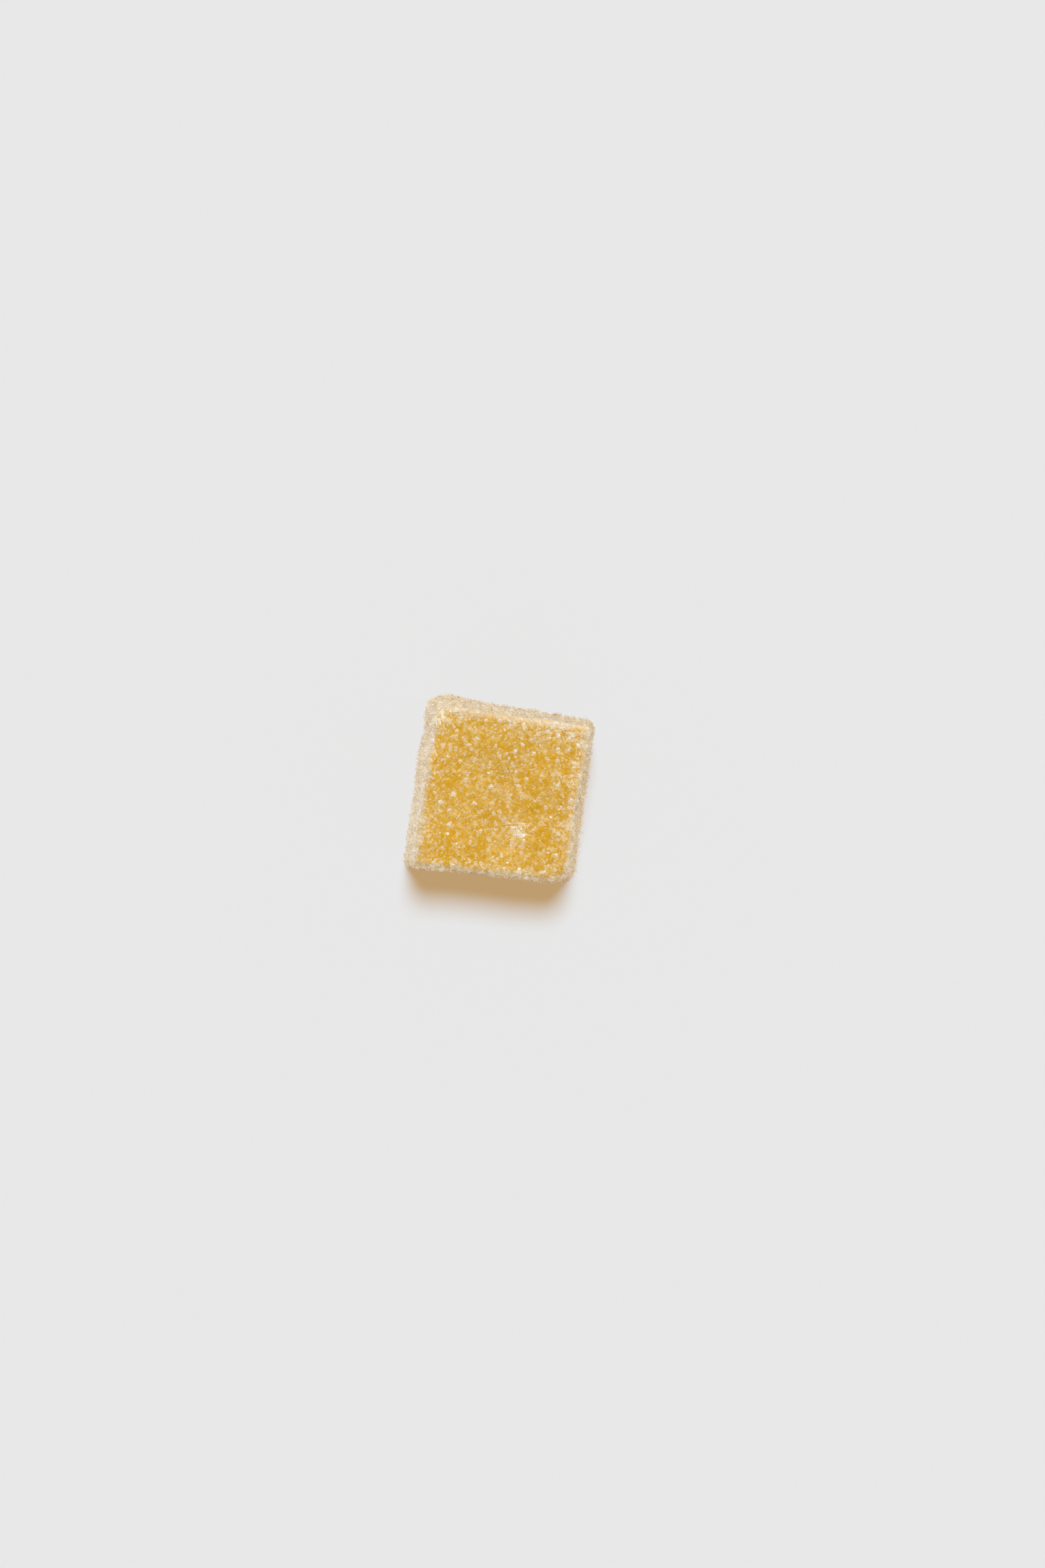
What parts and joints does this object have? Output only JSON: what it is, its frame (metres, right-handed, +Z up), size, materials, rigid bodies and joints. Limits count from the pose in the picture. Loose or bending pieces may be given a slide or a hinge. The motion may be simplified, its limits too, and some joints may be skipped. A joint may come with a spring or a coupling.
{
  "type": "sugar-coated gummy candy",
  "caption": "Square block of soft amber jelly with sloping walls and rounded edges, coated all over in granulated sugar.",
  "frame": {"origin": "middle of the base, on the surface that the candy lies on", "axes": "+Z up, from the wide base to the smaller face; +X along the candy's width, +Y along its depth; the most rounded corner lies at -X and +Y"},
  "size_m": [0.0236, 0.024, 0.0105],
  "materials": {
    "jelly": "cloudy golden amber jelly, soft and slightly translucent, frosted by a coat of fine sugar",
    "sugar": "colourless translucent sugar grains with bright edges"
  },
  "bodies": {
    "root": {"gummy": "jelly"}
  },
  "joints": []
}
